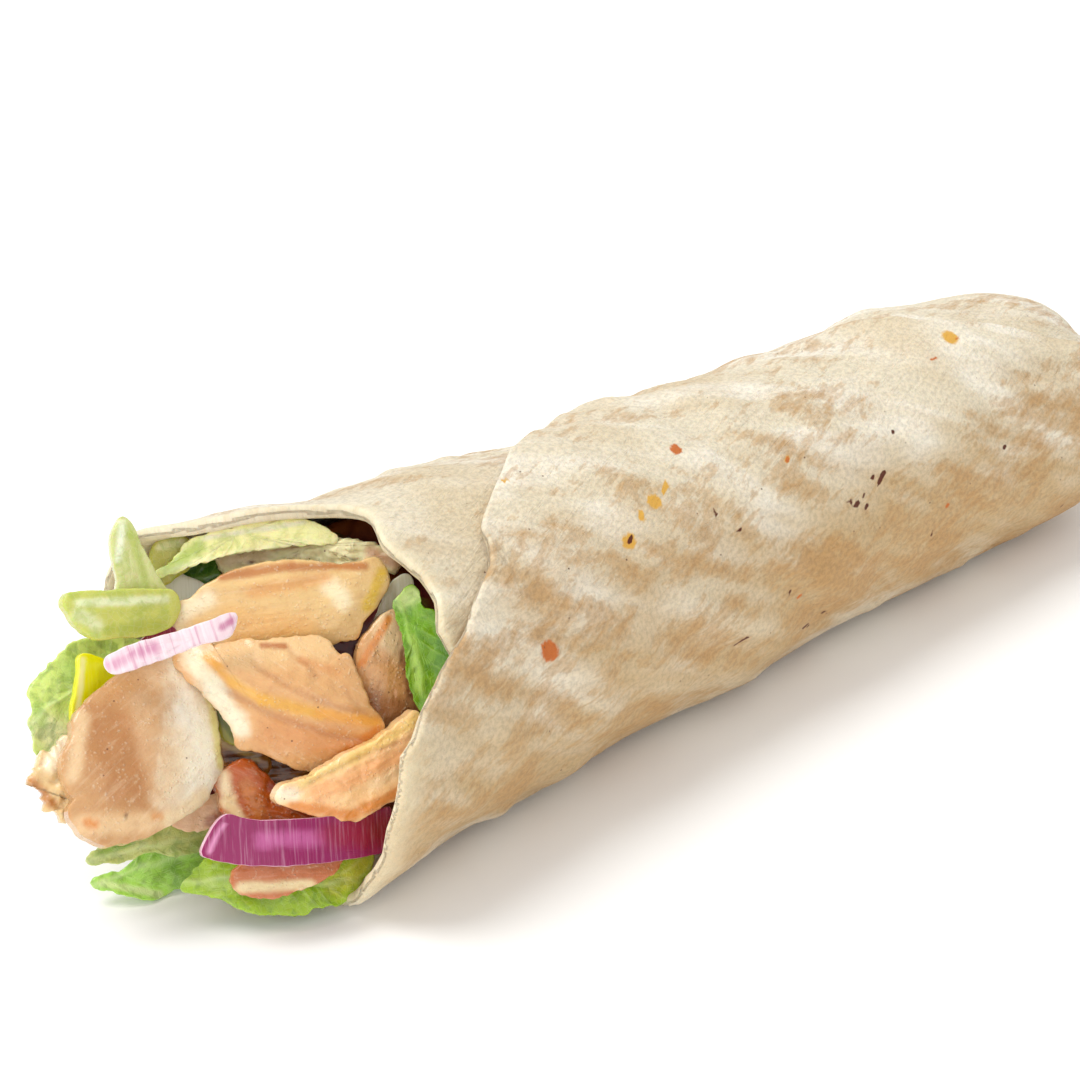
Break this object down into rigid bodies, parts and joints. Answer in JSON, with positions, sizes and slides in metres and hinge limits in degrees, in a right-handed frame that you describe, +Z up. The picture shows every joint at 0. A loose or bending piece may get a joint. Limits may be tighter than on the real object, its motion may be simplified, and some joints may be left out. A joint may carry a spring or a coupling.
{
  "type": "gyro wrap",
  "caption": "Rolled flatbread wrap lying on its side, open at one end and tucked at the other, filled with sliced chicken, lettuce, red onion and pepper.",
  "frame": {"origin": "on the flat strip that the wrap rests on, half way along the bread", "axes": "+X along the roll, from the open mouth to the tucked end; +Z up; the loose edge of the bread runs down the side at -Y"},
  "size_m": [0.2845, 0.0705, 0.0652],
  "materials": {
    "bread": "matt, dry flatbread",
    "chicken": "moist cooked meat",
    "chicken_pale": "moist cooked meat",
    "chicken_brown": "moist cooked meat",
    "chicken_gold": "moist cooked meat",
    "filling": "moist packed filling",
    "lettuce": "waxy leaf",
    "lettuce_pale": "waxy leaf",
    "lettuce_dark": "waxy leaf",
    "pepper": "shiny skin",
    "pickle": "wet",
    "onion_red": "shiny skin",
    "onion_pink": "moist",
    "onion_white": "moist",
    "onion_dark": "moist"
  },
  "bodies": {
    "root": {"tortilla": "bread", "filling_core": "filling", "chicken_front": "chicken", "chicken_ragged_end": "chicken_pale", "chicken_top_slice": "chicken_gold", "chicken_fold": "chicken_gold", "chicken_right_slice": "chicken_brown", "chicken_strip": "chicken_gold", "chicken_chunk": "chicken_gold", "chicken_small": "chicken", "chicken_under_onion": "chicken_pale", "chicken_top_shred": "chicken_pale", "lettuce_left": "lettuce", "pepper_strip": "pepper", "stem_flat": "lettuce_pale", "stem_upright": "lettuce_pale", "lettuce_top_blade": "lettuce_pale", "lettuce_stub": "pepper", "lettuce_dark_leaf": "lettuce_dark", "lettuce_right": "lettuce", "onion_dark_layer": "onion_dark", "onion_pale_sliver": "onion_white", "pickle_left": "pickle", "pickle_right": "pickle", "pickle_edge": "pepper", "onion_red_tip": "onion_dark", "onion_white_layer": "onion_white", "onion_pink_strip": "onion_pink", "onion_band": "onion_red", "lettuce_bottom": "lettuce", "lettuce_curled": "lettuce", "lettuce_pale_blade": "lettuce_pale"}
  },
  "joints": []
}
